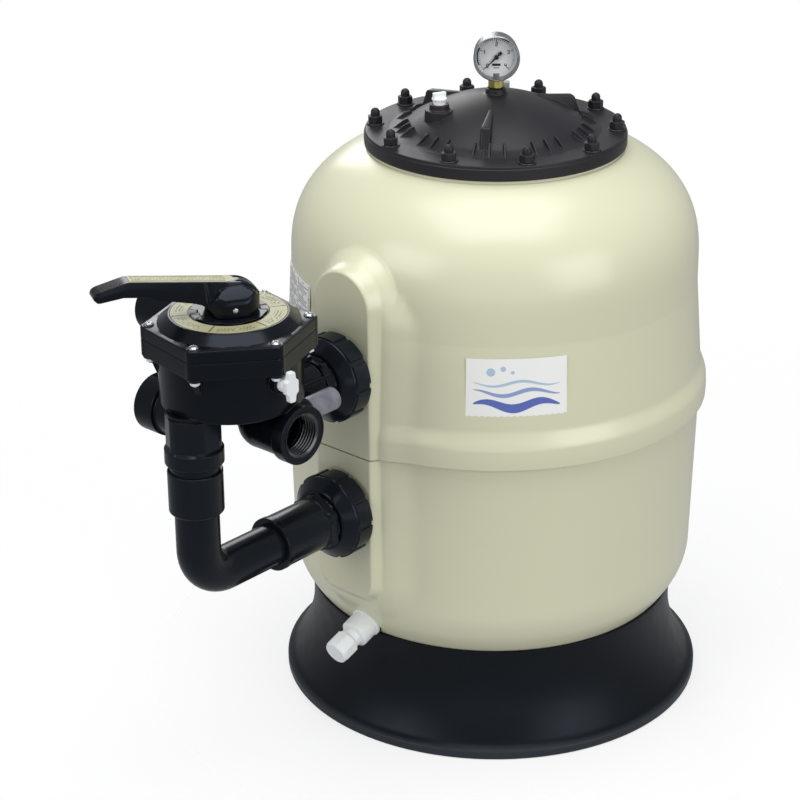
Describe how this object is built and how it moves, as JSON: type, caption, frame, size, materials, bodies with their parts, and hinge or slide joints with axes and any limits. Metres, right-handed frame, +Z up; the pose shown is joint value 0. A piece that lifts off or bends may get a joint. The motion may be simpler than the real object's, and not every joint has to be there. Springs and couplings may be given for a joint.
{
  "type": "sand filter tank",
  "caption": "Pool sand filter: moulded vessel on a skirt base, bolted lid with pressure gauge and purge, side-mounted rotary selector valve with lever, union ports, pipework and drain.",
  "frame": {"origin": "vessel axis at floor level, in the plane of the base skirt's underside", "axes": "+Z up along the vessel axis; -Y towards the wall ports and the selector valve; -X is the way the pump and return connections point"},
  "size_m": [0.533, 0.8539, 0.8345],
  "materials": {
    "vessel_shell": "moulded, smooth, soft gloss",
    "base_plastic": "moulded, fine grain",
    "lid_plastic": "moulded, satin",
    "black_plastic": "moulded, satin gloss",
    "pipe_plastic": "extruded, satin gloss",
    "grey_plastic": "moulded",
    "white_plastic": "moulded",
    "inner_plastic": "moulded",
    "dial_cream": "printed plate, satin",
    "label_white": "printed film",
    "rubber_black": "moulded rubber",
    "steel": "brushed",
    "gauge_steel": "brushed, darkened",
    "brass": "turned",
    "dial_white": "printed",
    "needle_black": "painted",
    "clear_glass": "clear",
    "clear_plastic": "moulded, slightly frosted"
  },
  "bodies": {
    "tank": {"base_skirt": "base_plastic", "tank_lower_shell": "vessel_shell", "tank_upper_shell": "vessel_shell", "lid_studs": "steel", "lid_gasket": "rubber_black", "lid": "lid_plastic", "lid_washers": "steel", "lid_nuts": "black_plastic", "lid_locating_key": "grey_plastic", "gauge_gasket": "rubber_black", "gauge_stem": "brass", "gauge_case": "gauge_steel", "gauge_dial": "dial_white", "gauge_glass": "clear_glass", "upper_port_gasket": "rubber_black", "upper_bulkhead": "black_plastic", "upper_union_gasket": "rubber_black", "lower_port_gasket": "rubber_black", "lower_bulkhead": "black_plastic", "lower_union_gasket": "rubber_black", "lower_adapter": "black_plastic", "connecting_pipe": "pipe_plastic", "riser_sleeve": "black_plastic", "riser_adapter": "black_plastic", "drain_gasket": "rubber_black", "drain_spigot": "white_plastic", "inlet_pipe": "inner_plastic", "diffuser": "inner_plastic", "outlet_pipe": "inner_plastic", "manifold_hub": "inner_plastic", "laterals": "inner_plastic", "air_tube": "inner_plastic", "valve_body": "black_plastic", "valve_seat_gasket": "rubber_black", "valve_lid_gasket": "rubber_black", "valve_lid": "black_plastic", "valve_screws": "steel", "valve_nuts": "white_plastic", "dial_plate": "dial_cream", "sight_glass": "clear_plastic", "sight_glass_gasket": "rubber_black", "main_label": "label_white", "info_label": "label_white"},
    "needle": {"gauge_needle": "needle_black"},
    "purge_seal": {"purge_oring": "rubber_black"},
    "purge_screw": {"purge_knob": "white_plastic"},
    "upper_nut": {"upper_union_nut": "black_plastic"},
    "lower_nut": {"lower_union_nut": "black_plastic"},
    "drain_seal": {"drain_cap_oring": "rubber_black"},
    "drain_closure": {"drain_cap": "white_plastic"},
    "plug_seal": {"wing_plug_oring": "rubber_black"},
    "plug": {"wing_plug": "white_plastic"},
    "indexer": {"index_washer": "grey_plastic"},
    "rotor": {"valve_rotor": "inner_plastic", "valve_shaft_oring": "rubber_black", "handle_pin": "steel", "valve_spring": "steel"},
    "lever": {"handle": "black_plastic", "handle_strip": "dial_cream"}
  },
  "joints": [
    {"name": "gauge_needle_turn", "type": "hinge", "parent": "tank", "child": "needle", "pos_m": [0, 0, 0.807], "axis": [0.6691, -0.7431, 0], "range_deg": [-270, 0]},
    {"name": "purge_lift", "type": "slide", "parent": "tank", "child": "purge_seal", "axis": [0, 0, 1], "range_m": [0, 0.0055]},
    {"name": "purge_turn", "type": "hinge", "parent": "purge_seal", "child": "purge_screw", "pos_m": [-0.03069, -0.06734, 0.757], "axis": [0, 0, 1], "range_deg": [0, 1080]},
    {"name": "upper_union_turn", "type": "hinge", "parent": "tank", "child": "upper_nut", "pos_m": [0, -0.29, 0.488], "axis": [0, -1, 0], "range_deg": [0, 720]},
    {"name": "lower_union_turn", "type": "hinge", "parent": "tank", "child": "lower_nut", "pos_m": [0, -0.29, 0.3125], "axis": [0, -1, 0], "range_deg": [0, 720]},
    {"name": "drain_cap_slide", "type": "slide", "parent": "tank", "child": "drain_seal", "axis": [0, -0.9397, -0.342], "range_m": [0, 0.0091]},
    {"name": "drain_cap_turn", "type": "hinge", "parent": "drain_seal", "child": "drain_closure", "pos_m": [0, -0.231, 0.147], "axis": [0, -0.9397, -0.342], "range_deg": [0, 1080]},
    {"name": "wing_plug_slide", "type": "slide", "parent": "tank", "child": "plug_seal", "axis": [0.9962, -0.0872, 0], "range_m": [0, 0.0061]},
    {"name": "wing_plug_turn", "type": "hinge", "parent": "plug_seal", "child": "plug", "pos_m": [0.08966, -0.45884, 0.559], "axis": [0.9962, -0.0872, 0], "range_deg": [0, 1080]},
    {"name": "selector_turn", "type": "hinge", "parent": "tank", "child": "indexer", "pos_m": [0, -0.451, 0.62], "axis": [0, 0, 1], "continuous": true},
    {"name": "rotor_lift", "type": "slide", "parent": "indexer", "child": "rotor", "axis": [0, 0, 1], "range_m": [0, 0.0037], "deforming": ["valve_spring"]},
    {"name": "handle_tilt", "type": "hinge", "parent": "rotor", "child": "lever", "pos_m": [0, -0.451, 0.628], "axis": [0.8746, -0.4848, 0], "range_deg": [0, 10]}
  ],
  "couplings": [
    {"joint": "purge_lift", "follows": "purge_turn", "m_per_rad": 0.00028648},
    {"joint": "drain_cap_slide", "follows": "drain_cap_turn", "m_per_rad": 0.00047746},
    {"joint": "wing_plug_slide", "follows": "wing_plug_turn", "m_per_rad": 0.00031831},
    {"joint": "rotor_lift", "follows": "handle_tilt", "m_per_rad": 0.0205}
  ]
}
